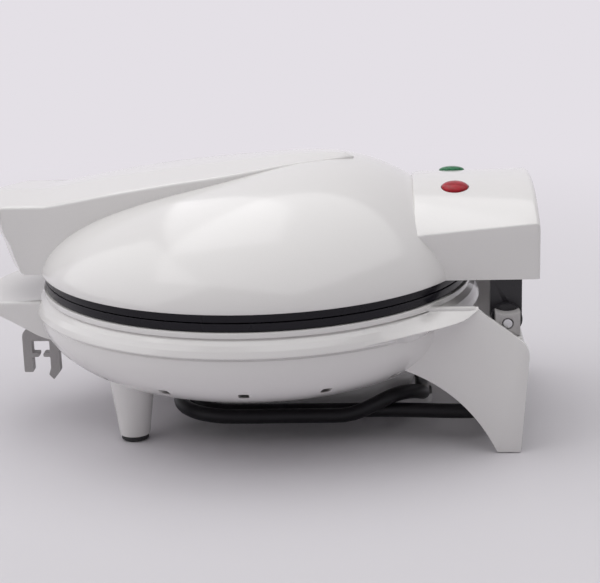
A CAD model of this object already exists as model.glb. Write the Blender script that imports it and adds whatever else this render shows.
"""Mini cake maker, dressed for its picture: a hinged white lid with a blade handle over a white bowl.

Metres, +Z up. The handles point to -Y, the hinge is at +Y, and the red lamp is on the +X side.
"""
import math

import bpy
from mathutils import Matrix, Quaternion, Vector


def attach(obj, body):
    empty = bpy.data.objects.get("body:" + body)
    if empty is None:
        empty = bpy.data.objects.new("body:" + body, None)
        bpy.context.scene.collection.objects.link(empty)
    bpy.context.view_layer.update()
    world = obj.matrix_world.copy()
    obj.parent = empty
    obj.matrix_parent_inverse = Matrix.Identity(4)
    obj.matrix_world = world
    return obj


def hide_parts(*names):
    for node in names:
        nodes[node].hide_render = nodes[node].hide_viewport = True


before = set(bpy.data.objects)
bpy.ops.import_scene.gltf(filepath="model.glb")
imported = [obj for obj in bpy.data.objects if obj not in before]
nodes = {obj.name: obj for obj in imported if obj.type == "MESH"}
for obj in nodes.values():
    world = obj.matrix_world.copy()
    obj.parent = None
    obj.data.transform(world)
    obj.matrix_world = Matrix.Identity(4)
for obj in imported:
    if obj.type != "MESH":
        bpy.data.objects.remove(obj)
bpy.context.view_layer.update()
MM = 0.001


# Camera
# The picture was taken from the red lamp's side, a little from behind and above, with the handles
# to the left and the hinge to the right.
camera_data = bpy.data.cameras.new("camera")
camera_data.lens = 96.0
camera_data.sensor_width = 36.0
camera = bpy.data.objects.new("camera", camera_data)
bpy.context.scene.collection.objects.link(camera)
camera.rotation_mode = "QUATERNION"
camera.rotation_quaternion = Quaternion((0.554318, 0.408249, 0.447226, 0.57101))
camera.location = (0.675218, 0.059074, 0.240817)
bpy.context.scene.camera = camera
bpy.context.scene.view_settings.view_transform = "Standard"


# Supply lead
# A round three-core lead in soft black PVC. It leaves the winder's rear wall through a ribbed rubber
# sleeve, folds back, and lies twice round the winder under the bowl before it reaches its plug.
LEAD_RADIUS = 3.1 * MM
LEAD_GAP = 0.6 * MM
WINDER_HALF_WIDTH = 30.01 * MM
WINDER_FRONT_Y = -24.0 * MM
WINDER_REAR_Y = 67.6 * MM
WINDER_CORNER = 15.5 * MM
WINDING_Z = 10.5 * MM
LEAD_CROSSING = 7.8 * MM
RISE_START_X = 8.0 * MM
RISE_LENGTH = 32.0 * MM
FALL_LENGTH = 27.0 * MM
RELIEF_Z = 19.6 * MM
RELIEF_END_Y = WINDER_REAR_Y + 21.9 * MM
RELIEF_SOCKET = 8.0 * MM
FOLD_RADIUS = 19.0 * MM
PLUG_X = -47.6 * MM
PLUG_BACK_Y = 44.0 * MM
PLUG_Z = WINDING_Z


def bend(centre, radius, start, end, steps):
    """Level points round a bend of the lead."""
    points = []
    for i in range(steps + 1):
        angle = start + (end - start) * i / steps
        points.append(Vector((centre[0] + radius * math.cos(angle), centre[1] + radius * math.sin(angle), 0)))
    return points


def straight(start, end, steps):
    return [Vector(start).lerp(Vector(end), i / steps) for i in range(1, steps)]


def swerve(start, end, steps):
    """Points between two places that leave and arrive in line with the Y axis."""
    points = []
    for i in range(1, steps):
        share = i / steps
        across = share * share * (3 - 2 * share)
        points.append(Vector((
            start[0] + (end[0] - start[0]) * across,
            start[1] + (end[1] - start[1]) * share,
            start[2] + (end[2] - start[2]) * across,
        )))
    return points


def wave(share):
    return (1 - math.cos(math.pi * min(max(share, 0.0), 1.0))) / 2


def raised(points, level):
    return [Vector((point.x, point.y, level)) for point in points]


def lead_route():
    quarter = math.pi / 2
    inner_x = WINDER_HALF_WIDTH + LEAD_RADIUS + LEAD_GAP
    outer_x = inner_x + 2 * LEAD_RADIUS + LEAD_GAP
    low = WINDING_Z
    front = WINDER_FRONT_Y + WINDER_CORNER
    rear = WINDER_REAR_Y - WINDER_CORNER
    bend_x = inner_x - FOLD_RADIUS
    outer_radius = outer_x - bend_x
    fold_y = RELIEF_END_Y + 1.0 * MM
    route = [Vector((0, RELIEF_END_Y - RELIEF_SOCKET + 1.0 * MM, RELIEF_Z))]
    route += [Vector((0, y, RELIEF_Z)) for y in (RELIEF_END_Y - 3.0 * MM, RELIEF_END_Y)]
    fold = bend((FOLD_RADIUS, fold_y), FOLD_RADIUS, math.pi, 0, 26)
    for i, point in enumerate(fold):
        route.append(Vector((point.x, point.y, RELIEF_Z + (low + LEAD_GAP - RELIEF_Z) * wave(i / 26))))
    inner_start = Vector((inner_x, rear, low))
    route += swerve(route[-1], inner_start, 12)
    route.append(inner_start)
    route += straight(inner_start, (inner_x, front, low), 10)
    route += raised(bend((bend_x, front), FOLD_RADIUS, 0, -quarter, 14), low)
    far_rear = rear + WINDER_CORNER + LEAD_RADIUS + LEAD_GAP - FOLD_RADIUS
    left_turn = raised(bend((-bend_x, front), FOLD_RADIUS, -quarter, -2 * quarter, 14), low)
    route += straight(route[-1], left_turn[0], 6) + left_turn
    rear_turn = raised(bend((-bend_x, far_rear), FOLD_RADIUS, 2 * quarter, quarter, 14), low)
    route += straight(route[-1], rear_turn[0], 10) + rear_turn
    cross = far_rear + FOLD_RADIUS - outer_radius
    lap = raised(bend((bend_x, cross), outer_radius, quarter, 0, 24), low)
    lap = straight(route[-1], lap[0], 14) + lap
    lap += straight(lap[-1], (outer_x, front, low), 14)
    travelled = 0.0
    for before, point in zip([route[-1]] + lap, lap):
        if point.x > RISE_START_X:
            travelled += math.hypot(point.x - before.x, point.y - before.y)
        rise = LEAD_CROSSING * wave(travelled / RISE_LENGTH)
        fall = LEAD_CROSSING * wave((travelled - RISE_LENGTH) / FALL_LENGTH)
        route.append(Vector((point.x, point.y, low + rise - fall)))
    route += raised(bend((bend_x, front), outer_radius, 0, -quarter, 16), low)
    last_turn = raised(bend((-bend_x, front), outer_radius, -quarter, -2 * quarter, 16), low)
    route += straight(route[-1], last_turn[0], 6) + last_turn
    plug_in = Vector((PLUG_X, PLUG_BACK_Y - 2 * LEAD_RADIUS, low))
    route += swerve(last_turn[-1], plug_in, 14)
    route += [plug_in, Vector((PLUG_X, PLUG_BACK_Y, low)), Vector((PLUG_X, PLUG_BACK_Y + 5.0 * MM, low))]
    return route


def alone(piece):
    """Select one piece and nothing else."""
    bpy.ops.object.select_all(action="DESELECT")
    piece.select_set(True)
    bpy.context.view_layer.objects.active = piece
    return piece


def fill(node, **values):
    """Set inputs of a shader node, each named with an underscore for a blank."""
    for name, value in values.items():
        node.inputs[name.replace("_", " ")].default_value = value
    return node


def added(tree, kind, **values):
    """A new shader node with the inputs that are given."""
    return fill(tree.nodes.new("ShaderNode" + kind), **values)


def calculated(tree, kind, operation):
    result = added(tree, kind)
    result.operation = operation
    return result


def object_place(tree):
    """Places in the piece's own space, in metres."""
    return added(tree, "TexCoord").outputs["Object"]


def textured(tree, kind, place, **values):
    """A texture that is read at a place."""
    result = added(tree, kind, **values)
    tree.links.new(place, result.inputs["Vector"])
    return result


def bumped(tree, height, normal, **values):
    """Small relief from a height, joined to a normal."""
    result = added(tree, "Bump", **values)
    tree.links.new(height, result.inputs["Height"])
    tree.links.new(result.outputs["Normal"], normal)
    return result


def ranged(tree, value, target, **limits):
    """A value carried over to another range."""
    result = added(tree, "MapRange", **limits)
    tree.links.new(value, result.inputs["Value"])
    tree.links.new(result.outputs["Result"], target)
    return result


def blend_of(tree, target, *colours):
    """A mix of two colours; its first input takes the amount, and 6 and 7 the colours."""
    result = added(tree, "Mix")
    result.data_type = "RGBA"
    for socket, colour in zip((6, 7), colours):
        result.inputs[socket].default_value = (*colour, 1)
    tree.links.new(result.outputs[2], target)
    return result


def blank_material(name, **values):
    """A new material, its node tree, and its shader with the inputs that are given."""
    material = bpy.data.materials.new(name)
    material.use_nodes = True
    tree = material.node_tree
    return material, tree, fill(tree.nodes["Principled BSDF"], **values)


def grain_group():
    """Fine moulding grain, a slow change of gloss and a little settled dust, for every plastic piece."""
    tree = bpy.data.node_groups.new("moulded_grain", "ShaderNodeTree")
    for way, name, kind in (
        ("INPUT", "Place", "Vector"), ("INPUT", "Colour", "Color"), ("INPUT", "Shade", "Color"),
        ("INPUT", "Grain", "Float"), ("INPUT", "Depth", "Float"), ("INPUT", "Gloss Low", "Float"),
        ("INPUT", "Gloss High", "Float"), ("OUTPUT", "Colour", "Color"), ("OUTPUT", "Roughness", "Float"),
        ("OUTPUT", "Normal", "Vector"),
    ):
        tree.interface.new_socket(name, in_out=way, socket_type="NodeSocket" + kind)
    join = tree.links.new
    given = tree.nodes.new("NodeGroupInput").outputs
    result = tree.nodes.new("NodeGroupOutput").inputs
    fine = textured(tree, "TexNoise", given["Place"], Detail=3.0)
    join(given["Grain"], fine.inputs["Scale"])
    bump = bumped(tree, fine.outputs["Fac"], result["Normal"], Strength=0.6)
    join(given["Depth"], bump.inputs["Distance"])
    broad = textured(tree, "TexNoise", given["Place"], Scale=38.0, Detail=5.0).outputs["Fac"]
    gloss = ranged(tree, broad, result["Roughness"], From_Min=0.3, From_Max=0.7)
    join(given["Gloss Low"], gloss.inputs["To Min"])
    join(given["Gloss High"], gloss.inputs["To Max"])
    specks = textured(tree, "TexNoise", given["Place"], Scale=2600.0).outputs["Fac"]
    dust = calculated(tree, "Math", "MULTIPLY")
    ranged(tree, specks, dust.inputs[0], From_Min=0.45, From_Max=1.0)
    join(broad, dust.inputs[1])
    tint = blend_of(tree, result["Colour"])
    join(dust.outputs["Value"], tint.inputs[0])
    join(given["Colour"], tint.inputs[6])
    join(given["Shade"], tint.inputs[7])
    return tree


MOULDED_GRAIN = grain_group()


def moulded(name, colour, shade, grain, depth, gloss, coat=0.0, shine=0.5):
    """A moulded plastic or rubber: its colour, the shade of its specks, grain per metre, and its gloss."""
    material, tree, shader = blank_material(
        name, Specular_IOR_Level=shine, Coat_Weight=coat, Coat_Roughness=0.06,
    )
    grained = added(tree, "Group")
    grained.node_tree = MOULDED_GRAIN
    fill(grained, Colour=(*colour, 1), Shade=(*shade, 1), Grain=grain, Depth=depth)
    fill(grained, Gloss_Low=gloss[0], Gloss_High=gloss[1])
    tree.links.new(object_place(tree), grained.inputs["Place"])
    for output, socket in (("Colour", "Base Color"), ("Roughness", "Roughness"), ("Normal", "Normal")):
        tree.links.new(grained.outputs[output], shader.inputs[socket])
    return material


route = lead_route()
lead_curve = bpy.data.curves.new("supply_lead", "CURVE")
lead_curve.dimensions = "3D"
lead_curve.bevel_depth = LEAD_RADIUS
lead_curve.bevel_resolution = 7
lead_curve.use_fill_caps = True
lead_line = lead_curve.splines.new("POLY")
lead_line.points.add(len(route) - 1)
for point, place in zip(lead_line.points, route):
    point.co = (*place, 1)
lead = bpy.data.objects.new("supply_lead", lead_curve)
bpy.context.scene.collection.objects.link(lead)
LEAD_BLACK = moulded(
    "lead_black", (0.008, 0.0075, 0.0095), (0.02, 0.019, 0.022), 2200.0, 0.05 * MM, (0.34, 0.46), shine=0.22,
)
lead_curve.materials.append(LEAD_BLACK)
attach(lead, "base")
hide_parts("power_cord")


# Strain relief
# A black rubber sleeve with three soft ribs, pressed into the winder's rear wall from behind. The
# lead goes into its open end.
RELIEF_LENGTH = 20.0 * MM
RELIEF_FLANGE = 1.6 * MM
RELIEF_FIT = 0.3 * MM
RELIEF_TIP = 4.5 * MM
RELIEF_SPREAD = 0.5 * MM
RELIEF_RIB_COUNT = 3
RELIEF_RIB_STEP = 5.33 * MM
MERGE = 0.002 * MM


def in_mm(*points):
    """Points that are given in millimetres."""
    return [tuple(value * MM for value in point) for point in points]


def faces_out():
    """Turn the faces of the piece in hand outward, and leave Edit Mode."""
    bpy.ops.mesh.select_all(action="SELECT")
    bpy.ops.mesh.normals_make_consistent(inside=False)
    bpy.ops.object.mode_set(mode="OBJECT")


def settled():
    """Leave the place, turn and size of the piece in hand in its mesh."""
    bpy.ops.object.transform_apply(location=True, rotation=True, scale=True)
    return bpy.context.object


def spun(name, section, steps=96):
    """A section of (radius, height) points, drawn out from one vertex and spun round the upright axis."""
    bpy.ops.object.select_all(action="DESELECT")
    bpy.ops.mesh.primitive_plane_add(size=MM, location=(section[0][0], 0, section[0][1]))
    piece = bpy.context.object
    piece.name = name
    bpy.ops.object.transform_apply(location=True)
    bpy.ops.object.mode_set(mode="EDIT")
    bpy.ops.mesh.select_all(action="SELECT")
    bpy.ops.mesh.merge(type="CENTER")
    for (radius, height), (next_radius, next_height) in zip(section, section[1:]):
        step = (next_radius - radius, 0, next_height - height)
        bpy.ops.mesh.extrude_region_move(TRANSFORM_OT_translate={"value": step})
    bpy.ops.mesh.select_all(action="SELECT")
    bpy.ops.mesh.spin(steps=steps, angle=math.tau, center=(0, 0, 0), axis=(0, 0, 1))
    bpy.ops.mesh.select_all(action="SELECT")
    bpy.ops.mesh.remove_doubles(threshold=MERGE)
    faces_out()
    return piece


def softened(points, radius, steps=3, closed=False):
    """The same section with its corners rounded."""
    result = []
    count = len(points)
    for i, point in enumerate(points):
        corner = Vector(point)
        if not closed and i in (0, count - 1):
            result.append(tuple(corner))
            continue
        before = Vector(points[i - 1]) - corner
        after = Vector(points[(i + 1) % count]) - corner
        turn = math.pi - before.angle(after)
        reach = min(radius * math.tan(turn / 2), before.length * 0.48, after.length * 0.48)
        if turn < math.radians(12) or reach <= 0:
            result.append(tuple(corner))
            continue
        start = corner + before.normalized() * reach
        end = corner + after.normalized() * reach
        for k in range(steps + 1):
            share = k / steps
            result.append(tuple(start.lerp(corner, share).lerp(corner.lerp(end, share), share)))
    if closed:
        result.append(result[0])
    return result


def moved(piece, matrix):
    """Put a piece in its place and leave that place in its mesh."""
    alone(piece)
    piece.matrix_world = matrix
    return settled()


def dress(piece, material, body, slot, *replaced, angle=30):
    """Finish a piece: smooth round faces, its material, the body that it moves with and its CAD nodes."""
    alone(piece)
    bpy.ops.object.shade_smooth_by_angle(angle=math.radians(angle))
    piece.data.materials.clear()
    piece.data.materials.append(material)
    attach(piece, body)
    if replaced:
        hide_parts(*replaced)
    return piece


BACKWARDS = Matrix.Rotation(math.radians(-90), 4, "X")

relief_end = RELIEF_FLANGE + RELIEF_FIT + RELIEF_LENGTH
relief_section = [
    (0, relief_end - RELIEF_SOCKET), (LEAD_RADIUS + RELIEF_FIT, relief_end - RELIEF_SOCKET),
    (LEAD_RADIUS + RELIEF_FIT, relief_end), (RELIEF_TIP, relief_end),
]
for i in range(RELIEF_RIB_COUNT):
    for part, drop in ((0.0, 0.0), (0.15, 0.5), (0.5, 0.5), (0.65, 0.0)):
        along = relief_end - 2.0 * MM - RELIEF_RIB_STEP * (i + part)
        radius = RELIEF_TIP + RELIEF_SPREAD * (relief_end - along) / RELIEF_LENGTH
        relief_section.append((radius - drop * MM, along))
relief_section += in_mm(
    (5.0, 1.9), (5.6, 1.9), (5.6, 0.3), (3.9, 0.3), (3.9, -2.5), (4.5, -2.5), (4.5, -4.1), (0, -4.1),
)
relief = spun("strain_relief_sleeve", softened(relief_section, 0.35 * MM), 48)
moved(relief, Matrix.Translation((0, WINDER_REAR_Y, RELIEF_Z)) @ BACKWARDS)
RUBBER = moulded("rubber", (0.014, 0.013, 0.015), (0.07, 0.068, 0.07), 1500.0, 0.08 * MM, (0.55, 0.72))
dress(relief, RUBBER, "base", "black_rubber", "strain_relief")


# Plug
# A moulded black plug with two flat brass blades. It is narrow where the lead goes in, and has three
# shallow grip ribs across its waist.
PLUG_LENGTH = 27.0 * MM
PLUG_HALF_WIDTH = 10.0 * MM
PLUG_HALF_HIGH = 6.8 * MM
PLUG_FACE_Y = PLUG_BACK_Y + PLUG_LENGTH
PLUG_ROWS = (
    (0.0, 0.40, 0.60), (0.03, 0.43, 0.63), (0.12, 0.55, 0.72), (0.3, 0.735, 0.85), (0.5, 0.88, 0.95),
    (0.62, 0.95, 0.975), (0.74, 0.995, 0.995), (0.95, 1.0, 1.0), (0.985, 0.985, 0.98), (1.0, 0.94, 0.92),
)
GRIP_RIB_COUNT = 3
GRIP_RIB_STEP = 2.6 * MM


def laid(name, rows):
    """A closed skin through rows of points: a grid is laid along them, sewn round and capped."""
    around = len(rows[0])
    bpy.ops.object.select_all(action="DESELECT")
    bpy.ops.mesh.primitive_grid_add(x_subdivisions=around, y_subdivisions=len(rows) - 1, size=MM)
    piece = bpy.context.object
    piece.name = name
    places = [point for row in rows for point in list(row) + [row[0]]]
    for vertex, place in zip(piece.data.vertices, places):
        vertex.co = place
    bpy.ops.object.mode_set(mode="EDIT")
    bpy.ops.mesh.select_all(action="SELECT")
    bpy.ops.mesh.remove_doubles(threshold=MERGE)
    bpy.ops.mesh.fill_holes(sides=0)
    faces_out()
    return piece


def applied(piece, kind, **settings):
    """Add a modifier, set it and apply it."""
    alone(piece)
    modifier = piece.modifiers.new(kind.lower(), kind)
    for key, value in settings.items():
        setattr(modifier, key, value)
    bpy.ops.object.modifier_apply(modifier=modifier.name)
    return piece


def shaped(piece, tool, operation="DIFFERENCE"):
    """Cut, join or trim a piece with another, which is used up."""
    applied(piece, "BOOLEAN", operation=operation, solver="EXACT", object=tool)
    bpy.data.objects.remove(tool, do_unlink=True)
    return piece


def fused(piece, tool):
    return shaped(piece, tool, "UNION")


def edged(piece, width, segments=2, over=50):
    """Round the edges of a piece where it turns by more than an angle."""
    limit = math.radians(over)
    return applied(piece, "BEVEL", width=width, segments=segments, limit_method="ANGLE", angle_limit=limit)


def block(name, low, high, bevel=0.0, segments=2):
    """A block between two corners with its edges rounded."""
    low = Vector(low)
    high = Vector(high)
    bpy.ops.object.select_all(action="DESELECT")
    bpy.ops.mesh.primitive_cube_add(size=1.0, location=(low + high) / 2, scale=high - low)
    piece = settled()
    piece.name = name
    if bevel:
        bpy.ops.object.mode_set(mode="EDIT")
        bpy.ops.mesh.select_all(action="SELECT")
        bpy.ops.mesh.bevel(offset=bevel, segments=segments, affect="EDGES")
        bpy.ops.object.mode_set(mode="OBJECT")
    return piece


def rod(name, start, radius, end_radius, length, axis="Z", steps=48):
    """A round or tapered rod from a point along an axis."""
    turn = {"Z": (0, 0, 0), "X": (0, math.radians(90), 0), "Y": (math.radians(-90), 0, 0)}[axis]
    along = {"Z": (0, 0, 1), "X": (1, 0, 0), "Y": (0, 1, 0)}[axis]
    bpy.ops.object.select_all(action="DESELECT")
    bpy.ops.mesh.primitive_cone_add(
        vertices=steps, radius1=radius, radius2=end_radius, depth=length,
        location=Vector(start) + Vector(along) * length / 2, rotation=turn,
    )
    piece = settled()
    piece.name = name
    return piece


def plug_ring(half_width, half_high, y):
    """One rounded section of the plug."""
    corner = half_high * 0.42
    ring = []
    for quarter, (side_x, side_z) in enumerate(((1, 1), (-1, 1), (-1, -1), (1, -1))):
        for k in range(6):
            angle = math.pi / 2 * (quarter + k / 5)
            x = side_x * (half_width - corner) + corner * math.cos(angle)
            z = side_z * (half_high - corner) + corner * math.sin(angle)
            ring.append((PLUG_X + x, y, PLUG_Z + z))
    return ring


plug = laid("mains_plug", [
    plug_ring(PLUG_HALF_WIDTH * across, PLUG_HALF_HIGH * up, PLUG_BACK_Y + PLUG_LENGTH * along)
    for along, across, up in PLUG_ROWS
])
edged(plug, 0.4 * MM)
for i in range(GRIP_RIB_COUNT):
    y = PLUG_BACK_Y + PLUG_LENGTH * 0.56 + GRIP_RIB_STEP * i
    for side in (-1, 1):
        x = PLUG_X + side * 10.4 * MM
        low = (x - 1.2 * MM, y, PLUG_Z - 4.2 * MM)
        shaped(plug, block("grip_groove", low, (x + 1.2 * MM, y + 1.1 * MM, PLUG_Z + 4.2 * MM), 0.3 * MM))
low = (PLUG_X - 3.0 * MM, PLUG_BACK_Y - MM, PLUG_Z - 3.0 * MM)
high = (PLUG_X + 3.0 * MM, PLUG_BACK_Y + 5.6 * MM, PLUG_Z + 3.0 * MM)
shaped(plug, block("lead_entry", low, high, 0.5 * MM))
PLUG_BLACK = moulded(
    "plug_black", (0.013, 0.012, 0.015), (0.06, 0.058, 0.062), 1800.0, 0.06 * MM, (0.38, 0.5),
)
dress(plug, PLUG_BLACK, "base", "black_rubber", "plug_body")

BLADE_PITCH = 12.7 * MM
BLADE_THICK = 0.75 * MM
BLADE_HALF_WIDE = 3.175 * MM
BLADE_HOLE = 1.6 * MM


def metal(name, colour, roughness, stretch, depth):
    """Drawn or stamped metal: fine marks that run one way, and a slow change of gloss."""
    material, tree, shader = blank_material(name, Metallic=1.0)
    place = object_place(tree)
    drawn = textured(tree, "Mapping", place, Scale=stretch).outputs["Vector"]
    marks = textured(tree, "TexNoise", drawn, Scale=900.0, Detail=4.0).outputs["Fac"]
    bumped(tree, marks, shader.inputs["Normal"], Strength=0.5, Distance=depth)
    ranged(tree, marks, shader.inputs["Roughness"], To_Min=roughness * 0.7, To_Max=roughness * 1.4)
    stain = textured(tree, "TexNoise", place, Scale=120.0).outputs["Fac"]
    tint = blend_of(tree, shader.inputs["Base Color"], colour, [channel * 0.72 for channel in colour])
    tree.links.new(stain, tint.inputs[0])
    return material


BRASS = metal("plated_brass", (0.78, 0.68, 0.44), 0.24, (0.2, 1.0, 0.2), 0.02 * MM)
for name, side in (("plug_blade_inner", 1), ("plug_blade_outer", -1)):
    x = PLUG_X + side * BLADE_PITCH / 2
    blade_piece = block(
        name + "_pin",
        (x - BLADE_THICK, PLUG_FACE_Y - 3.0 * MM, PLUG_Z - BLADE_HALF_WIDE),
        (x + BLADE_THICK, PLUG_FACE_Y + 16.0 * MM, PLUG_Z + BLADE_HALF_WIDE),
        0.35 * MM, 3,
    )
    start = (x - 2.0 * MM, PLUG_FACE_Y + 11.5 * MM, PLUG_Z)
    shaped(blade_piece, rod("blade_hole", start, BLADE_HOLE, BLADE_HOLE, 4.0 * MM, "X", 24))
    dress(blade_piece, BRASS, "base", "brass", name)


# Base moulding
# One white gloss moulding: the bowl with its lip, groove and round shoulder, two front legs, two rear
# fins, the wings that run the shoulder onto them, and a hollow handle under the lid's blade.
PART_Z = 63.0 * MM
SHOULDER = 96.3 * MM
LIP = 92.7 * MM
DISH = 95.1 * MM
SHOULDER_Z = PART_Z - 8.8 * MM
BOWL_DEPTH = 37.0 * MM
BOWL_POWER = 2.25
WALL = 2.6 * MM
VENT_COUNT = 16
FIN_X = 58.0 * MM
FIN_THICK = 3.0 * MM
FIN_TOP = 62.0 * MM
WING_Y = 47.88 * MM
WING_END_Y = 93.0 * MM
WING_X = 83.6 * MM
WING_RING = 92.6 * MM
WING_DROP = 1.6 * MM
WING_BAND = 7.8 * MM
WING_WEB = 25.5 * MM
REAR_WALL_X = 56.5 * MM
SHELF_X = 48.3 * MM
LEG_X = 36.0 * MM
LEG_Y = -52.0 * MM
LEG_TIP = 6.4 * MM
LEG_ROOT = 10.6 * MM
LEG_LENGTH = 31.8 * MM
HINGE_Y = 105.0 * MM
HINGE_Z = 54.0 * MM
LATCH_Y = -98.0 * MM
LATCH_Z = 44.4 * MM
LATCH_BORE = 1.6 * MM


def bowl_curve(inset, steps):
    """The dish from under the shoulder's edge down to the middle of its underside."""
    points = []
    for i in range(steps + 1):
        angle = math.pi / 2 * i / steps
        across = math.cos(angle) ** (2 / BOWL_POWER)
        down = math.sin(angle) ** (2 / BOWL_POWER)
        points.append(((DISH - inset) * across, SHOULDER_Z - (BOWL_DEPTH - inset) * down))
    points[-1] = (0, points[-1][1])
    return points


def steady(rows, count):
    """Rows of values drawn out to more rows on smooth curves that never swing past them."""
    keys = [row[0] for row in rows]
    columns = list(zip(*rows))
    slopes = []
    for column in columns:
        steps = [(b - a) / (k2 - k1) for a, b, k1, k2 in zip(column, column[1:], keys, keys[1:])]
        inner = [0.0 if a * b <= 0 else 2 * a * b / (a + b) for a, b in zip(steps, steps[1:])]
        slopes.append([steps[0]] + inner + [steps[-1]])
    result = []
    for i in range(len(rows) - 1):
        span = keys[i + 1] - keys[i]
        parts = max(1, round(count * abs(span) / abs(keys[-1] - keys[0])))
        for k in range(parts):
            t = k / parts
            low = (1 + 2 * t) * (1 - t) ** 2
            high = t * t * (3 - 2 * t)
            result.append(tuple(
                low * column[i] + high * column[i + 1]
                + span * (t * (1 - t) ** 2 * slope[i] - t * t * (1 - t) * slope[i + 1])
                for column, slope in zip(columns, slopes)
            ))
    result.append(tuple(rows[-1]))
    return result


def bar_ring(half_width, low_half_width, y, bulge, crown, low, edge):
    """A handle's section: a crowned top with round edges, straight sides and a flat underside."""
    soft = min(max(edge, 0.05 * MM), max(crown(1.0) - low, 0.1 * MM) * 0.45, half_width * 0.45)
    shares = [1 - soft / half_width * (1 - math.sin(math.pi / 2 * k / 5)) for k in range(5, -1, -1)]
    inner = [shares[-1] * i / 10 for i in range(9, -1, -1)]
    half = shares + inner
    across = [-share for share in half] + half[::-1][1:]
    ring = []
    for share in across:
        over = max(0.0, (abs(share) - shares[-1]) / (1 - shares[-1]))
        drop = soft * (1 - math.sqrt(max(0.0, 1 - over * over)))
        ring.append((share * half_width, y - bulge * (1 - share * share), crown(abs(share)) - drop))
    side_top = crown(1.0) - soft
    for k in range(1, 5):
        share = k / 5
        wide = half_width + (low_half_width - half_width) * share
        ring.append((wide, y, side_top + (low - side_top) * share))
    for share in across[::-1]:
        ring.append((share * low_half_width, y - bulge * (1 - share * share), low))
    for k in range(4, 0, -1):
        share = k / 5
        wide = half_width + (low_half_width - half_width) * share
        ring.append((-wide, y, side_top + (low - side_top) * share))
    return ring


def closing(ring):
    """The last ring of a handle, its underside drawn up to meet its top along one line."""
    count = (len(ring) - 8) // 2
    low = ring[count + 4:2 * count + 4][::-1]
    line = [((a[0] + b[0]) / 2, (a[1] + b[1]) / 2, (a[2] + b[2]) / 2) for a, b in zip(ring[:count], low)]
    return line + [line[-1]] * 4 + line[::-1] + [line[0]] * 4


def plate_from(name, outline, low_x, high_x, bevel):
    """A flat plate: an outline in the Y-Z plane filled, extruded along X and softened at its edges."""
    bpy.ops.object.select_all(action="DESELECT")
    bpy.ops.mesh.primitive_circle_add(vertices=len(outline), radius=MM, fill_type="NGON")
    piece = bpy.context.object
    piece.name = name
    for vertex, (y, z) in zip(piece.data.vertices, outline):
        vertex.co = (low_x, y, z)
    bpy.ops.object.mode_set(mode="EDIT")
    bpy.ops.mesh.select_all(action="SELECT")
    bpy.ops.mesh.extrude_region_move(TRANSFORM_OT_translate={"value": (high_x - low_x, 0, 0)})
    faces_out()
    return edged(piece, bevel, over=40) if bevel else piece


def other_side(piece, name):
    """The same piece on the other side of the middle."""
    alone(piece)
    bpy.ops.object.duplicate()
    bpy.context.object.scale = (-1, 1, 1)
    copy = settled()
    copy.name = name
    bpy.ops.object.mode_set(mode="EDIT")
    faces_out()
    return copy


def fin_side():
    points = []
    for i in range(29):
        t = i / 28
        ahead = (1 - t) * (1 - t)
        middle = 2 * t * (1 - t)
        points.append((ahead * 61.0 + middle * 88.0 + t * t * 100.7, ahead * 36.5 + middle * 27.0))
    corner = Vector((114.0, 45.0))
    low = corner + (Vector((110.5, 0)) - corner).normalized() * 5.0
    high = corner + (Vector((91.5, 62.0)) - corner).normalized() * 5.0
    points.append((110.5, 0))
    for k in range(9):
        share = k / 8
        points.append(tuple(low.lerp(corner, share).lerp(corner.lerp(high, share), share)))
    points += [(91.5, 62.0), (50.0, 62.0), (50.0, 36.5)]
    return [(y * MM, z * MM) for y, z in points]


def wing_rows():
    """The band that carries the shoulder onto the fin, thinning to nothing at the fin's top edge."""
    rows = []
    given = (
        (0.0, 1.0, 1.0), (0.29, 0.90, 1.0), (0.47, 0.83, 0.62), (0.645, 0.77, 0.25),
        (0.867, 0.60, 0.185), (1.0, 0.13, 0.045),
    )
    inner = FIN_X - 1.5 * MM
    for along, band, web in steady(given, 24):
        y = WING_Y + (WING_END_Y - WING_Y) * along
        x = WING_X + (FIN_X - WING_X) * along
        ring_x = max(inner + 0.3 * MM, math.sqrt(max(0.0, WING_RING ** 2 - y * y)))
        top = FIN_TOP - WING_DROP * (1 - along) ** 0.7
        band_low = FIN_TOP - WING_BAND * band
        web_low = min(FIN_TOP - WING_WEB * web, band_low)
        soft = min(0.45 * MM, 6.0 * MM * (1 - along) + 0.15 * MM)
        section = [(inner, top)]
        for part in (0.0, 0.5, 0.93):
            section.append((ring_x + (x - ring_x) * part, top + (band_low + soft - top) * part))
        section += [
            (x, band_low + soft * 0.6), (x - soft * 0.25, band_low), (x - soft, band_low - soft * 0.4),
            (inner, web_low),
        ]
        rows.append([(across, y, height) for across, height in section])
    return rows


GRIP_FRONT_Y = -112.0 * MM
GRIP_ROOT_Y = -83.8 * MM
GRIP_TOP = PART_Z - 4.6 * MM
GRIP_DEPTH = 18.0 * MM
GRIP_HALF_WIDTH = 27.5 * MM
GRIP_BOW = 6.5 * MM
GRIP_WALL = 2.2 * MM


def grip_body(name, inset):
    """The lower handle, flat on top, its underside swept up to a bowed front edge."""
    given = ((0.0, 0.10), (0.11, 0.32), (0.27, 0.46), (0.50, 0.67), (0.72, 0.86), (1.0, 1.0))
    rows = []
    top = GRIP_TOP - inset
    soft = 0.0 if inset else 1.3 * MM
    wide = GRIP_HALF_WIDTH - inset
    for back, deep in steady(given, 20):
        y = GRIP_FRONT_Y + (GRIP_ROOT_Y - GRIP_FRONT_Y) * back + inset
        bottom = GRIP_TOP - GRIP_DEPTH * deep
        if inset:
            if top - bottom < inset:
                continue
            bottom = GRIP_TOP - 2 * GRIP_DEPTH
        rows.append(bar_ring(wide, wide, y, GRIP_BOW, lambda share: top, bottom, soft))
    if not inset:
        rows.insert(0, closing(rows[0]))
    return laid(name, rows)


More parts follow.
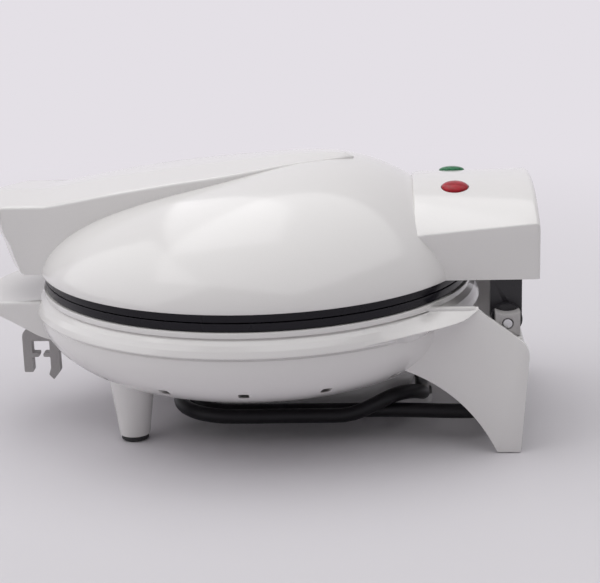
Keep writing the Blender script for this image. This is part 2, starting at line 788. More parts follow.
bowl_section = bowl_curve(WALL, 36)[::-1] + [(LIP - WALL, PART_Z - 4.4 * MM), (LIP - WALL, PART_Z)]
lip_section = [
    (LIP - WALL, PART_Z), (LIP, PART_Z), (LIP, PART_Z - 2.2 * MM), (LIP - 1.2 * MM, PART_Z - 2.6 * MM),
    (SHOULDER - 2.1 * MM, PART_Z - 4.6 * MM), (SHOULDER - 0.75 * MM, PART_Z - 6.7 * MM),
    (SHOULDER, SHOULDER_Z - 0.1 * MM), (SHOULDER - 0.1 * MM, SHOULDER_Z - 0.6 * MM),
    (SHOULDER - 1.75 * MM, SHOULDER_Z - 1.2 * MM),
]
bowl_section += softened(lip_section, 0.35 * MM)[1:]
bowl_section += [point for point in bowl_curve(0.0, 44) if point[1] < SHOULDER_Z - 1.7 * MM]
base = spun("base_moulding", bowl_section, 192)
for i in range(VENT_COUNT):
    slot = block("vent", *in_mm((76.0, -2.2, 33.2), (92.0, 2.2, 35.9)), 0.9 * MM, 4)
    shaped(base, moved(slot, Matrix.Rotation(math.tau * i / VENT_COUNT, 4, "Z")))

fin = plate_from("fin", fin_side(), FIN_X - FIN_THICK, FIN_X, 0.5 * MM)
fixtures = fused(fin, other_side(fin, "left_fin"))
wing = laid("wing", wing_rows())
fused(fixtures, other_side(wing, "left_wing"))
fused(fixtures, wing)
low = (-REAR_WALL_X, 110.2 * MM, 20.0 * MM)
fused(fixtures, block("rear_wall", low, (REAR_WALL_X, 112.4 * MM, 44.0 * MM), 0.5 * MM))
for side in (-1, 1):
    ends = sorted((side * SHELF_X, side * REAR_WALL_X))
    low = (ends[0], 100.0 * MM, 45.7 * MM)
    fused(fixtures, block("bearing_shelf", low, (ends[1], 110.5 * MM, 48.7 * MM)))
    fused(fixtures, rod("leg", (side * LEG_X, LEG_Y, 2.2 * MM), LEG_TIP, LEG_ROOT, LEG_LENGTH))
grip = grip_body("grip", 0.0)
shaped(grip, grip_body("grip_hollow", GRIP_WALL))
fused(fixtures, grip)
inside_radius = LIP - WALL / 2
core_section = [(0, PART_Z + MM), (inside_radius, PART_Z + MM), (inside_radius, PART_Z - 4.4 * MM)]
core_section += bowl_curve(WALL / 2, 36)
shaped(fixtures, spun("bowl_core", core_section, 168))
fused(base, fixtures)
groove_section = in_mm((91.5, 60.4), (93.5, 59.7), (93.5, 60.78), (91.5, 60.78), (91.5, 60.4))
shaped(base, spun("lip_groove", groove_section, 192))
for left in (-5.1 * MM, 2.9 * MM):
    low = (left, -101.4 * MM, 41.0 * MM)
    fused(base, block("latch_ear", low, (left + 2.2 * MM, -94.6 * MM, 57.3 * MM), 0.4 * MM))
for side in (-1, 1):
    shaped(base, rod("pad_bore", (side * LEG_X, LEG_Y, 0), 2.5 * MM, 2.5 * MM, 7.2 * MM, steps=24))
shaped(base, rod("latch_bore", (-6.1 * MM, LATCH_Y, LATCH_Z), LATCH_BORE, LATCH_BORE, 12.2 * MM, "X", 24))
WHITE = moulded(
    "white_gloss", (0.80, 0.785, 0.78), (0.74, 0.725, 0.715), 520.0, 0.018 * MM, (0.13, 0.2), 0.35,
)
dress(base, WHITE, "base", "white_shell", "base_shell")


# Foot pads
# Two soft black rubber buttons, pushed by their stems into the ends of the front legs.
for name, side in (("foot_pad_left", -1), ("foot_pad_right", 1)):
    pad_section = in_mm((0, 6.9), (2.2, 6.9), (2.2, 1.9), (5.8, 1.9), (5.8, 0), (0, 0))
    pad = spun(name + "_button", softened(pad_section, 0.5 * MM), 48)
    moved(pad, Matrix.Translation((side * LEG_X, LEG_Y, 0)))
    dress(pad, RUBBER, "base", "black_rubber", name)


# Rims
# Two black heat-proof rings that meet with a fine gap when the lid is shut. Each has a flat outside
# band, a step that holds its baking plate, and a skirt inside the white shell.
LOWER_Z = PART_Z + 0.3 * MM
LOWER_TOP = LOWER_Z + 3.2 * MM
UPPER_Z = LOWER_TOP + 0.4 * MM
UPPER_TOP = UPPER_Z + 3.2 * MM
LID_Z = UPPER_TOP + 0.3 * MM
PLATE_TOP = LOWER_TOP - 0.3 * MM
PLATE_LOW = UPPER_Z + 0.3 * MM
PLATE_THICK = 3.0 * MM
RIM_OUTSIDE = 91.85 * MM
RIM_INSIDE = 84.2 * MM
LEDGE_INSIDE = 80.0 * MM
LEDGE_THICK = 2.4 * MM
SKIRT_OUTSIDE = 89.6 * MM
SKIRT_INSIDE = 87.2 * MM
SKIRT_END = PART_Z - 5.5 * MM
RIM_BLACK = moulded(
    "rim_black", (0.008, 0.007, 0.011), (0.02, 0.019, 0.024), 1300.0, 0.04 * MM, (0.22, 0.32), shine=0.22,
)
lower_ledge = PLATE_TOP - 3.3 * MM
lower_section = [
    (RIM_OUTSIDE, LOWER_TOP), (RIM_OUTSIDE, LOWER_Z), (SKIRT_OUTSIDE, LOWER_Z), (SKIRT_OUTSIDE, SKIRT_END),
    (SKIRT_INSIDE, SKIRT_END), (SKIRT_INSIDE, lower_ledge - LEDGE_THICK),
    (LEDGE_INSIDE, lower_ledge - LEDGE_THICK), (LEDGE_INSIDE, lower_ledge), (RIM_INSIDE, lower_ledge),
    (RIM_INSIDE, LOWER_TOP),
]
lower_ring = spun("lower_ring", softened(lower_section, 0.4 * MM, closed=True), 200)
dress(lower_ring, RIM_BLACK, "base", "black_rim", "lower_rim")
upper_ledge = PLATE_LOW + 3.3 * MM
upper_section = [
    (LEDGE_INSIDE, upper_ledge + LEDGE_THICK), (88.4 * MM, upper_ledge + LEDGE_THICK), (88.4 * MM, UPPER_TOP),
    (RIM_OUTSIDE, UPPER_TOP), (RIM_OUTSIDE, UPPER_Z), (RIM_INSIDE, UPPER_Z), (RIM_INSIDE, upper_ledge),
    (LEDGE_INSIDE, upper_ledge),
]
upper_ring = spun("upper_ring", softened(upper_section, 0.4 * MM, closed=True), 200)
dress(upper_ring, RIM_BLACK, "lid", "black_rim", "upper_rim")


# Baking plates
# Two cast aluminium plates with a dark non-stick coat. The lower one has seven round cups, the upper
# one a low cap over each of them.
PLATE_RADIUS = 83.6 * MM
CUP_RADIUS = 21.9 * MM
CUP_OUTSIDE = 24.0 * MM
CUP_EDGE = 22.9 * MM
CUP_RING = 54.5 * MM
CAP_RISE = 9.0 * MM
CAP_SKIN_RISE = 9.5 * MM
CAP_ROOT = 1.5 * MM
CAP_STEPS = 12
OUTER_CUP_COUNT = 6


def coated(name):
    """Dark non-stick coat with fine pale flecks, matt, with a soft cast waviness under it."""
    material, tree, shader = blank_material(name)
    place = object_place(tree)
    flecks = textured(tree, "TexVoronoi", place, Scale=900.0).outputs["Distance"]
    tint = blend_of(tree, shader.inputs["Base Color"], (0.022, 0.021, 0.022), (0.11, 0.105, 0.10))
    ranged(tree, flecks, tint.inputs[0], From_Min=0.16, From_Max=0.08)
    waves = textured(tree, "TexNoise", place, Scale=420.0, Detail=4.0).outputs["Fac"]
    bumped(tree, waves, shader.inputs["Normal"], Strength=0.5, Distance=0.06 * MM)
    ranged(tree, waves, shader.inputs["Roughness"], To_Min=0.32, To_Max=0.5)
    return material


def with_seven(plate, name, section, height, operation):
    """Join or cut the same round form at the middle and six times round it."""
    places = [(0.0, 0.0)]
    for i in range(OUTER_CUP_COUNT):
        angle = math.tau * i / OUTER_CUP_COUNT
        places.append((CUP_RING * math.cos(angle), CUP_RING * math.sin(angle)))
    for x, y in places:
        tool = moved(spun(name, section, 56), Matrix.Translation((x, y, height)))
        shaped(plate, tool, operation)
    return plate


def flat_plate(name, top):
    """A round plate that is turned from its upper face downward."""
    low = top - PLATE_THICK
    section = [(0, top), (PLATE_RADIUS, top), (PLATE_RADIUS, low), (0, low)]
    return spun(name, softened(section, 0.4 * MM), 168)


NON_STICK = coated("non_stick_coat")
cup_plate = flat_plate("cup_plate", PLATE_TOP)
cup_outside = in_mm((0, -1.5), (24.0, -1.5), (18.1, -18.9), (16.5, -21.6), (15.4, -22.0), (0, -22.0))
cup_inside = in_mm(
    (0, 1.0), (22.9, 1.0), (22.9, 0), (22.25, -0.25), (21.9, -0.9), (16.6, -16.5), (15.2, -19.2),
    (14.0, -19.8), (12.0, -20.0), (0, -20.0),
)
with_seven(cup_plate, "cup_outside", cup_outside, PLATE_TOP, "UNION")
with_seven(cup_plate, "cup_inside", cup_inside, PLATE_TOP, "DIFFERENCE")
dress(cup_plate, NON_STICK, "base", "baking_plate", "lower_plate")
cap_plate = flat_plate("cap_plate", PLATE_LOW + PLATE_THICK)
cap_outside = [(0, CAP_ROOT + CAP_SKIN_RISE)]
cap_inside = [(0, CAP_RISE)]
for i in range(1, CAP_STEPS + 1):
    angle = math.pi / 2 * i / CAP_STEPS
    across = math.sin(angle) ** 0.9
    up = math.cos(angle) ** 0.85
    cap_outside.append((CUP_OUTSIDE * across, CAP_ROOT + CAP_SKIN_RISE * up))
    cap_inside.append((CUP_RADIUS * across, CAP_RISE * up))
cap_outside.append((0, CAP_ROOT))
cap_inside += [(22.3 * MM, -0.02 * MM), (CUP_EDGE, -0.3 * MM), (CUP_EDGE, -MM), (0, -MM)]
with_seven(cap_plate, "cap_outside", cap_outside, PLATE_LOW, "UNION")
with_seven(cap_plate, "cap_inside", cap_inside, PLATE_LOW, "DIFFERENCE")
dress(cap_plate, NON_STICK, "lid", "baking_plate", "upper_plate")


# Lead winder
# A white open-topped box with round corners, hung under the bowl. Its front and rear tabs keep the
# turns of the lead from slipping off.
def upright_rounded(name, low, high, corner, segments):
    """A block whose four upright edges are rounded."""
    piece = block(name, low, high)
    bpy.ops.object.mode_set(mode="EDIT")
    bpy.ops.mesh.select_all(action="DESELECT")
    bpy.ops.object.mode_set(mode="OBJECT")
    for edge in piece.data.edges:
        ends = [piece.data.vertices[i].co for i in edge.vertices]
        edge.select = abs(ends[0].x - ends[1].x) + abs(ends[0].y - ends[1].y) < 0.01 * MM
    bpy.ops.object.mode_set(mode="EDIT")
    bpy.ops.mesh.select_mode(type="EDGE")
    bpy.ops.mesh.bevel(offset=corner, segments=segments, affect="EDGES")
    bpy.ops.mesh.select_mode(type="VERT")
    bpy.ops.object.mode_set(mode="OBJECT")
    return piece


WINDER_WALL = 2.2 * MM
TAB_HALF_WIDTH = 7.0 * MM
winder = upright_rounded(
    "lead_winder",
    (-WINDER_HALF_WIDTH, WINDER_FRONT_Y, 6.6 * MM), (WINDER_HALF_WIDTH, WINDER_REAR_Y, SHOULDER_Z),
    WINDER_CORNER, 14,
)
edged(winder, 0.7 * MM, 3, over=60)
for name, front_y, rear_y in (("front_tab", -37.5 * MM, -10.0 * MM), ("rear_tab", 55.0 * MM, 75.6 * MM)):
    low = (-TAB_HALF_WIDTH, front_y, 4.6 * MM)
    fused(winder, upright_rounded(name, low, (TAB_HALF_WIDTH, rear_y, 6.9 * MM), 3.0 * MM, 6))
clear_section = [(0, PART_Z), (SHOULDER, PART_Z), (SHOULDER + 0.3 * MM, SHOULDER_Z)]
clear_section += bowl_curve(-0.3 * MM, 44)[1:]
shaped(winder, spun("bowl_clear", clear_section, 120))
low = (-WINDER_HALF_WIDTH + WINDER_WALL, WINDER_FRONT_Y + WINDER_WALL, 8.8 * MM)
high = (WINDER_HALF_WIDTH - WINDER_WALL, WINDER_REAR_Y - WINDER_WALL, SHOULDER_Z + MM)
shaped(winder, upright_rounded("winder_inside", low, high, WINDER_CORNER - WINDER_WALL, 14))
start = (0, WINDER_REAR_Y - 2 * WINDER_WALL, RELIEF_Z)
shaped(winder, rod("relief_hole", start, 4.2 * MM, 4.2 * MM, 6.6 * MM, "Y", 40))
WINDER_WHITE = moulded(
    "winder_white", (0.76, 0.755, 0.76), (0.66, 0.65, 0.64), 900.0, 0.03 * MM, (0.24, 0.36),
)
dress(winder, WINDER_WHITE, "base", "white_shell", "winder_box")


# Latch clip
# A grey nylon snap loop that swings on a steel pin under the lower handle. It has a window above a
# split bar, and open jaws that snap over the lid's edge when it is turned up.
CLIP_HALF_THICK = 2.5 * MM
CLIP_BOSS = 3.4 * MM
clip_outline = [
    (-3.0, 0), (-3.0, -5.2), (-4.0, -5.2), (-5.53, -5.5), (-6.83, -6.37), (-7.7, -7.67), (-8.0, -9.2),
    (-8.0, -25.6), (-4.0, -25.6), (-4.0, -18.6), (-1.0, -18.6), (-1.0, -16.8), (-4.0, -16.8), (-4.0, -11.2),
    (4.0, -11.2), (4.0, -16.8), (1.0, -16.8), (1.0, -18.6), (4.0, -18.6), (4.0, -23.8), (3.0, -26.8),
    (5.0, -29.2), (8.0, -25.6), (8.0, -8.2), (5.0, -5.2), (3.0, -5.2), (3.0, 0),
]
clip_points = [(LATCH_Y + y * MM, LATCH_Z + z * MM) for y, z in clip_outline]
clip_points = softened(clip_points, 0.5 * MM, 2, closed=True)[:-1]
clip = plate_from("snap_clip", clip_points, -CLIP_HALF_THICK, CLIP_HALF_THICK, 0.0)
start = (-CLIP_HALF_THICK, LATCH_Y, LATCH_Z)
fused(clip, rod("clip_boss", start, CLIP_BOSS, CLIP_BOSS, 2 * CLIP_HALF_THICK, "X", 40))
start = (-CLIP_HALF_THICK - MM, LATCH_Y, LATCH_Z)
shaped(clip, rod("clip_bore", start, LATCH_BORE, LATCH_BORE, 2 * CLIP_HALF_THICK + 2 * MM, "X", 24))
edged(clip, 0.35 * MM, over=55)
GREY = moulded("grey_nylon", (0.42, 0.405, 0.405), (0.25, 0.245, 0.25), 1100.0, 0.06 * MM, (0.42, 0.56))
dress(clip, GREY, "clip", "grey_plastic", "latch_clip")
STEEL = metal("bright_steel", (0.62, 0.62, 0.63), 0.22, (0.15, 1.0, 1.0), 0.02 * MM)
latch_rod = spun("clip_pin", softened(in_mm((0, 5.6), (1.3, 5.6), (1.3, -5.6), (0, -5.6)), 0.4 * MM), 32)
moved(latch_rod, Matrix.Translation((0, LATCH_Y, LATCH_Z)) @ Matrix.Rotation(math.radians(90), 4, "Y"))
dress(latch_rod, STEEL, "base", "steel", "latch_pin")


# Hinge
# Two grey blocks with hollowed tops stand on shelves inside the rear fins. A black yoke is screwed up
# under the hood, and a headed steel pin goes through each of its bosses into the block beside it.
BEARING_X = 54.7 * MM
BEARING_FRONT_Y = 100.0 * MM
BEARING_REAR_Y = 110.0 * MM
BEARING_LOW = 49.0 * MM
BEARING_TOP = 59.0 * MM
BEARING_HOLLOW = 1.3 * MM
BEARING_STEPS = 16
BORE = 2.3 * MM
YOKE_ARM_X = 38.7 * MM
YOKE_X = 44.3 * MM
BOSS_RADIUS = 6.4 * MM
BOSS_LENGTH = 9.3 * MM
SCREW_X = 26.0 * MM
SCREW_Y = 107.0 * MM
for name, side in (("hinge_bearing_left", -1), ("hinge_bearing_right", 1)):
    outline = [(BEARING_FRONT_Y, BEARING_LOW), (BEARING_REAR_Y, BEARING_LOW)]
    for i in range(BEARING_STEPS + 1):
        share = i / BEARING_STEPS
        y = BEARING_REAR_Y - (BEARING_REAR_Y - BEARING_FRONT_Y) * share
        outline.append((y, BEARING_TOP - BEARING_HOLLOW * 4 * share * (1 - share)))
    ends = sorted((side * SHELF_X, side * BEARING_X))
    bearing = plate_from(name + "_block", outline, *ends, 0.0)
    shaped(bearing, rod("bearing_bore", (ends[0] - MM, HINGE_Y, HINGE_Z), BORE, BORE, 8.4 * MM, "X", 32))
    edged(bearing, 0.4 * MM)
    dress(bearing, GREY, "base", "grey_plastic", name)

yoke = block("lid_yoke", (-YOKE_X, 97.0 * MM, LID_Z), (YOKE_X, 113.9 * MM, LID_Z + 2.4 * MM))
for side in (-1, 1):
    ends = sorted((side * YOKE_ARM_X, side * YOKE_X))
    fused(yoke, block("yoke_arm", (ends[0], 98.6 * MM, HINGE_Z), (ends[1], 111.4 * MM, LID_Z + 1.2 * MM)))
    start = min(side * YOKE_ARM_X, side * 48.0 * MM)
    fused(yoke, rod("yoke_boss", (start, HINGE_Y, HINGE_Z), BOSS_RADIUS, BOSS_RADIUS, BOSS_LENGTH, "X", 56))
    shaped(yoke, rod("yoke_bore", (start - MM, HINGE_Y, HINGE_Z), BORE, BORE, BOSS_LENGTH + 2 * MM, "X", 32))
    start = (side * SCREW_X, SCREW_Y, LID_Z - MM)
    shaped(yoke, rod("yoke_screw_bore", start, 1.8 * MM, 1.8 * MM, 4.4 * MM, steps=24))
edged(yoke, 0.35 * MM)
YOKE_BLACK = moulded(
    "yoke_black", (0.013, 0.012, 0.015), (0.05, 0.048, 0.052), 1400.0, 0.05 * MM, (0.34, 0.48),
)
dress(yoke, YOKE_BLACK, "lid", "black_rim", "hinge_yoke")

for name, side in (("hinge_pin_left", -1), ("hinge_pin_right", 1)):
    hinge_section = in_mm((0, 54.4), (2.0, 54.4), (2.0, 38.4), (3.4, 38.4), (3.4, 36.8), (0, 36.8))
    hinge_rod = spun(name + "_rod", softened(hinge_section, 0.4 * MM), 40)
    moved(hinge_rod, Matrix.Translation((0, HINGE_Y, HINGE_Z)) @ Matrix.Rotation(side * math.pi / 2, 4, "Y"))
    dress(hinge_rod, STEEL, "base", "steel", name)

for name, side in (("yoke_screw_left", -1), ("yoke_screw_right", 1)):
    screw_section = in_mm(
        (0, 12.0), (1.5, 12.0), (1.5, 0), (3.3, 0), (3.25, -0.7), (2.9, -1.4), (2.3, -2.0), (0, -2.0),
    )
    screw = spun(name + "_part", softened(screw_section, 0.25 * MM), 40)
    for turn in (0, 90):
        slot = block("recess", *in_mm((-1.7, -0.45, -3.0), (1.7, 0.45, -1.0)))
        shaped(screw, moved(slot, Matrix.Rotation(math.radians(turn), 4, "Z")))
    moved(screw, Matrix.Translation((side * SCREW_X, SCREW_Y, LID_Z - 0.3 * MM)))
    dress(screw, STEEL, "lid", "steel", name)


# Lid moulding
# One white gloss moulding: a round dome that leans back towards the hinge, a leaf-shaped blade handle
# that rises from it and overhangs the front, and an arched hood over the hinge and the lamps.
LID_RADIUS = 93.4 * MM
LID_SIDE = 0.8 * MM
LID_WALL = 2.6 * MM
DOME_RISE = 39.65 * MM
DOME_LEAN = 0.23
LEAN_RADIUS = 92.2 * MM


def dome_curve(inset, steps):
    points = []
    for i in range(steps + 1):
        share = math.sin(math.pi / 2 * i / steps)
        height = LID_Z + LID_SIDE + (DOME_RISE - inset) * (1 - share ** 2.64) ** 0.65
        points.append(((LID_RADIUS - inset) * share, height))
    return points


def leaned(piece):
    """Push the round dome over towards the hinge."""
    for vertex in piece.data.vertices:
        radius = math.hypot(vertex.co.x, vertex.co.y)
        vertex.co.z += DOME_LEAN * vertex.co.y * max(0.0, 1 - radius / LEAN_RADIUS)
    return piece


BLADE_ROWS = (
    (0.000, 0.02, 0.985, 0.10), (0.020, 0.15, 0.998, 0.45), (0.068, 0.32, 1.000, 0.65),
    (0.182, 0.57, 0.988, 0.75), (0.290, 0.75, 0.955, 0.80), (0.372, 0.865, 0.928, 0.85),
    (0.493, 0.94, 0.891, 0.90), (0.595, 0.985, 0.852, 0.95), (0.696, 1.000, 0.807, 1.00),
    (0.797, 0.995, 0.756, 1.00), (0.872, 0.98, 0.719, 0.90),
)
CHIN_ROWS = ((1.0, 1.0), (0.73, 0.985), (0.46, 0.75), (0.31, 0.54), (0.115, 0.37), (0.03, 0.22), (0.0, 0.06))
HANDLE_HALF_WIDTH = 29.5 * MM
HANDLE_FLARE = 1.03
HANDLE_UP = 51.2 * MM
HANDLE_ROOT_Y = 43.0 * MM
HANDLE_REACH = 148.0 * MM
HANDLE_FRONT_Y = -105.0 * MM
HANDLE_BOW = 8.5 * MM
HANDLE_RIDGE = 2.2 * MM
CHIN_LENGTH = 12.0 * MM
CHIN_ROUND = 1.4 * MM


def blade_crown(up, ridge, inset):
    """Height across the blade: a low ridge along its middle."""
    def crown(share):
        falling = 1 - math.sqrt(share * share * 0.98 + 0.0004)
        return PART_Z + HANDLE_UP * up + HANDLE_RIDGE * ridge * falling - inset
    return crown


def blade_body(name, inset):
    """The handle from its point on the dome to its front, then down and back under its chin."""
    rows = []
    soft = 0.0 if inset else 1.2 * MM
    low = LID_Z - MM if inset else LID_Z + 0.5 * MM
    for along, across, up, ridge in steady(BLADE_ROWS, 56):
        wide = HANDLE_HALF_WIDTH * across - inset
        if inset and wide < 20.0 * MM:
            continue
        y = HANDLE_ROOT_Y - HANDLE_REACH * along
        bow = HANDLE_BOW * max(0.0, (along - 0.45) / 0.47) ** 2
        rows.append(bar_ring(wide, wide * HANDLE_FLARE, y, bow, blade_crown(up, ridge, inset), low, soft))
    _, across, up, ridge = BLADE_ROWS[-1]
    wide = HANDLE_HALF_WIDTH * across - inset
    deep = PART_Z + HANDLE_UP * up - LID_Z
    for back, down in steady(CHIN_ROWS, 26):
        if inset and back < 0.3:
            continue
        y = HANDLE_FRONT_Y + CHIN_LENGTH * back + inset
        bottom = low
        drop = inset
        if not inset:
            ahead = max(0.0, CHIN_ROUND - CHIN_LENGTH * back)
            drop = (CHIN_ROUND - math.sqrt(CHIN_ROUND ** 2 - ahead ** 2)) * 0.55
            bottom = max(low, LID_Z + deep * (1 - down))
        crown = blade_crown(up, ridge, drop)
        rows.append(bar_ring(wide, wide * HANDLE_FLARE, y, HANDLE_BOW, crown, bottom, soft))
    if not inset:
        rows.append(closing(rows[-1]))
    return laid(name, rows)


HOOD_HALF_WIDTH = 47.0 * MM
HOOD_FRONT_Y = 68.0 * MM
HOOD_REAR_Y = 118.5 * MM
HOOD_LENGTH = 50.5 * MM
HOOD_SIDE = 26.0 * MM
HOOD_SIDE_RISE = 4.6 * MM
HOOD_CREST = 41.6 * MM
HOOD_ROUND = 2.2 * MM
HOOD_WALL = 2.4 * MM
HOOD_STEPS = 14


def hood_height(x, y):
    edge = HOOD_SIDE + HOOD_SIDE_RISE * (y - HOOD_FRONT_Y) / HOOD_LENGTH
    return PART_Z + edge + (HOOD_CREST - edge) * (1 - abs(x / HOOD_HALF_WIDTH) ** 2.3)


def hood_body(name, inset, low):
    """The arched hood, or with an inset the space inside it."""
    rows = []
    stations = [(HOOD_FRONT_Y + inset, 0.0)] if inset else [(HOOD_FRONT_Y, 0.7 * MM), (68.5 * MM, 0.2 * MM)]
    for i in range(1, HOOD_STEPS + 1):
        y = (69.2 + 47.0 * i / HOOD_STEPS) * MM
        if y < 116.0 * MM - inset:
            stations.append((y, 0.0))
    if inset:
        stations.append((HOOD_REAR_Y - inset, 0.0))
    else:
        for k in range(6):
            angle = math.pi / 2 * k / 5
            y = HOOD_REAR_Y - HOOD_ROUND * (1 - math.sin(angle))
            stations.append((y, HOOD_ROUND * (1 - math.cos(angle))))
    soft = 0.0 if inset else 0.5 * MM
    for y, drop in stations:
        crown = lambda share, y=y, drop=drop: hood_height(share * HOOD_HALF_WIDTH, y) - inset - drop
        wide = HOOD_HALF_WIDTH - inset - drop * 0.5
        rows.append(bar_ring(wide, wide, y, 0.0, crown, low, soft))
    return laid(name, rows)


edge_section = [(LID_RADIUS, LID_Z + LID_SIDE), (LID_RADIUS, LID_Z), (LID_RADIUS - LID_WALL, LID_Z)]
lid_section = dome_curve(0.0, 60) + softened(edge_section, 0.35 * MM)[1:] + dome_curve(LID_WALL, 36)[::-1]
lid = leaned(spun("lid_moulding", lid_section, 176))
inside_radius = LID_RADIUS - LID_WALL / 2
core_section = dome_curve(LID_WALL / 2, 48) + [(inside_radius, LID_Z - MM), (0, LID_Z - MM)]
handle = blade_body("blade", 0.0)
shaped(handle, blade_body("blade_hollow", LID_WALL))
shaped(handle, leaned(spun("dome_core", core_section, 176)))
fused(lid, handle)
hood = hood_body("hood", 0.0, LID_Z)
shaped(hood, hood_body("hood_hollow", HOOD_WALL, LID_Z - MM))
shaped(hood, leaned(spun("dome_core", core_section, 176)))
fused(lid, hood)
LENS_X = 18.0 * MM
LENS_Y = 85.4 * MM
LENS_HOLE = 5.85 * MM
LENS_TILT = math.radians(10)


def lamp_place(side):
    x = side * LENS_X
    tilt = Matrix.Rotation(side * LENS_TILT, 4, "Y")
    return Matrix.Translation((x, LENS_Y, hood_height(x, LENS_Y))) @ tilt


for side in (-1, 1):
    hole = rod("lens_hole", (0, 0, -5.0 * MM), LENS_HOLE, LENS_HOLE, 10.0 * MM, steps=64)
    shaped(lid, moved(hole, lamp_place(side)))
dress(lid, WHITE, "lid", "white_shell", "lid_shell", angle=28)


# Lamps
# A red lens for power and a green one for ready, set in round holes in the hood. Each is a thin domed
# cup of clear tinted plastic with a small glass lamp and its collar behind it.
LENS_RADIUS = 5.55 * MM
LENS_RISE = 1.8 * MM
LENS_STEPS = 12


def tinted(name, colour, deep):
    """Clear tinted plastic: a smooth face over fine facets, its colour deeper in patches."""
    material, tree, shader = blank_material(
        name, Transmission_Weight=0.15, IOR=1.4, Specular_IOR_Level=0.2, Coat_Weight=0.1, Coat_Roughness=0.03,
    )
    facets = textured(tree, "TexVoronoi", object_place(tree), Scale=700.0).outputs["Distance"]
    bumped(tree, facets, shader.inputs["Normal"], Strength=0.35, Distance=0.15 * MM)
    tint = blend_of(tree, shader.inputs["Base Color"], deep, colour)
    tree.links.new(facets, tint.inputs[0])
    ranged(tree, facets, shader.inputs["Roughness"], To_Min=0.05, To_Max=0.16)
    return material


LAMP_GLASS = moulded("lamp_glass", (0.80, 0.76, 0.70), (0.62, 0.58, 0.52), 700.0, 0.02 * MM, (0.1, 0.22), 0.5)
for name, side, colour, deep in (
    ("red", 1, (0.50, 0.004, 0.018), (0.30, 0.002, 0.008)),
    ("green", -1, (0.016, 0.24, 0.09), (0.005, 0.11, 0.038)),
):
    lens_section = [(0, LENS_RISE)]
    for k in range(1, LENS_STEPS + 1):
        angle = math.pi / 2 * k / LENS_STEPS
        lens_section.append((LENS_RADIUS * math.sin(angle), LENS_RISE * math.cos(angle)))
    lens_section.append((LENS_RADIUS, -4.0 * MM))
    lens_section += in_mm((8.2, -4.0), (8.2, -5.2), (5.0, -5.2), (4.3, -4.2), (4.2, -1.1), (0, 0.4))
    lens = moved(spun(name + "_window", lens_section, 64), lamp_place(side))
    dress(lens, tinted(name + "_clear", colour, deep), "lid", name + "_lens", name + "_lens")
    lamp_section = in_mm(
        (0, -1.4), (1.5, -1.75), (2.6, -2.9), (3.0, -4.4), (3.0, -5.2), (4.9, -5.2), (4.9, -9.7), (3.0, -9.7),
        (3.0, -13.7), (0, -13.7),
    )
    bulb = moved(spun(name + "_bulb", softened(lamp_section, 0.3 * MM), 40), lamp_place(side))
    dress(bulb, LAMP_GLASS, "lid", "lamp", name + "_lamp")


# Inside
# The heating elements are dark steel tubes, and each lies on its plate over a dish of bright sheet. A
# ceramic thermostat, a thermal fuse and a terminal block stand under the lower plate. All of them are
# the CAD pieces, which get a finish of their own.
ELEMENT_STEEL = metal("element_steel", (0.24, 0.22, 0.21), 0.42, (1.0, 1.0, 0.3), 0.04 * MM)
REFLECTOR_SHEET = metal("reflector_sheet", (0.74, 0.74, 0.75), 0.2, (1.0, 0.12, 1.0), 0.03 * MM)
CERAMIC = moulded("ceramic", (0.72, 0.69, 0.62), (0.56, 0.52, 0.46), 1600.0, 0.05 * MM, (0.4, 0.6))
FUSE_CASE = metal("fuse_case", (0.70, 0.66, 0.60), 0.28, (1.0, 0.2, 1.0), 0.02 * MM)
for name, material in (
    ("lower_heater", ELEMENT_STEEL), ("upper_heater", ELEMENT_STEEL), ("lower_reflector", REFLECTOR_SHEET),
    ("upper_reflector", REFLECTOR_SHEET), ("thermostat", CERAMIC), ("thermal_fuse", FUSE_CASE),
    ("terminal_block", CERAMIC),
):
    alone(nodes[name])
    bpy.ops.object.shade_smooth_by_angle(angle=math.radians(30))
    nodes[name].data.materials.clear()
    nodes[name].data.materials.append(material)


# Floor and light
# A plain pale table that runs out into a pale background, under large soft lamps.
BACKGROUND = (0.775, 0.745, 0.791, 1)


def seen_rays(tree):
    """1 for camera, glossy and transmission rays, which show the background, and 0 for all others."""
    light_path = added(tree, "LightPath")
    total = light_path.outputs["Is Camera Ray"]
    for name in ("Is Glossy Ray", "Is Transmission Ray"):
        both = calculated(tree, "Math", "ADD")
        both.use_clamp = True
        tree.links.new(total, both.inputs[0])
        tree.links.new(light_path.outputs[name], both.inputs[1])
        total = both.outputs["Value"]
    return total


def shown_instead(tree, amount, lit, shown, output):
    """Mix what is lit with what is shown in its stead, by an amount, into a tree's output."""
    mix = added(tree, "MixShader")
    for socket, source in zip(mix.inputs, (amount, lit, shown)):
        tree.links.new(source, socket)
    tree.links.new(mix.outputs["Shader"], tree.nodes[output].inputs["Surface"])


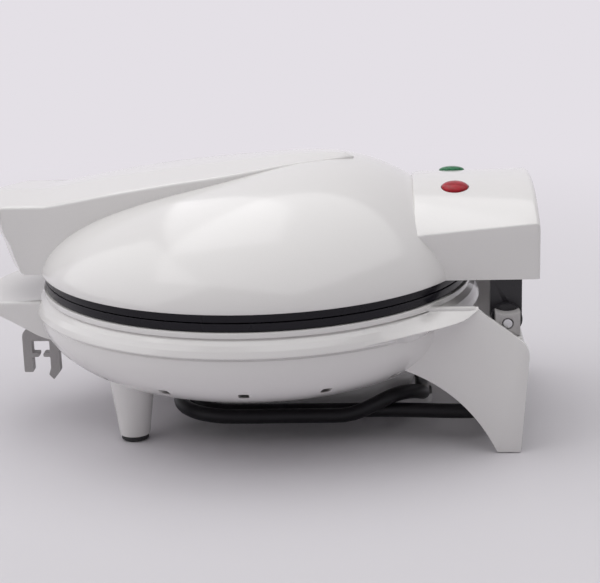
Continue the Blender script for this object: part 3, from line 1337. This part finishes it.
bpy.ops.object.select_all(action="DESELECT")
bpy.ops.mesh.primitive_plane_add(size=14.0, location=(0, 0, -0.3 * MM))
floor = settled()
floor.name = "table"
floor_material, tree, shader = blank_material(
    "pale_table", Base_Color=(0.72, 0.70, 0.735, 1), Roughness=0.55, Specular_IOR_Level=0.25,
)
flat = textured(tree, "Mapping", object_place(tree), Scale=(1, 1, 0)).outputs["Vector"]
distance = calculated(tree, "VectorMath", "LENGTH")
tree.links.new(flat, distance.inputs[0])
amount = calculated(tree, "Math", "MULTIPLY")
tree.links.new(seen_rays(tree), amount.inputs[0])
away = ranged(tree, distance.outputs["Value"], amount.inputs[1], From_Min=0.16, From_Max=0.62)
away.interpolation_type = "SMOOTHSTEP"
glow = added(tree, "Emission", Color=BACKGROUND).outputs["Emission"]
shown_instead(tree, amount.outputs["Value"], shader.outputs["BSDF"], glow, "Material Output")
floor.data.materials.append(floor_material)

world = bpy.data.worlds.new("soft_room")
bpy.context.scene.world = world
world.use_nodes = True
tree = world.node_tree
room = fill(tree.nodes["Background"], Color=(1.0, 0.985, 0.98, 1), Strength=0.22).outputs["Background"]
behind = added(tree, "Background", Color=BACKGROUND).outputs["Background"]
shown_instead(tree, seen_rays(tree), room, behind, "World Output")


def soft_box(name, place, target, width, height, power):
    """A flat lamp that faces a point and lights one side only."""
    lamp_data = bpy.data.lights.new(name, "AREA")
    lamp_data.shape = "RECTANGLE"
    lamp_data.size = width
    lamp_data.size_y = height
    lamp_data.energy = power
    lamp = bpy.data.objects.new(name, lamp_data)
    bpy.context.scene.collection.objects.link(lamp)
    lamp.location = place
    lamp.rotation_mode = "QUATERNION"
    lamp.rotation_quaternion = (Vector(target) - Vector(place)).to_track_quat("-Z", "Y")
    lamp.visible_camera = False


soft_box("key_box", (-0.441, -0.096, 1.162), (-0.506, 0.863, 0.885), 0.87, 1.32, 3.4)
soft_box("top_box", (0.1, 0.2, 1.5), (0, 0, 0.06), 2.4, 2.4, 18.0)
soft_box("left_box", (0.2, -1.3, 0.95), (0, 0, 0.06), 2.2, 1.7, 10.5)
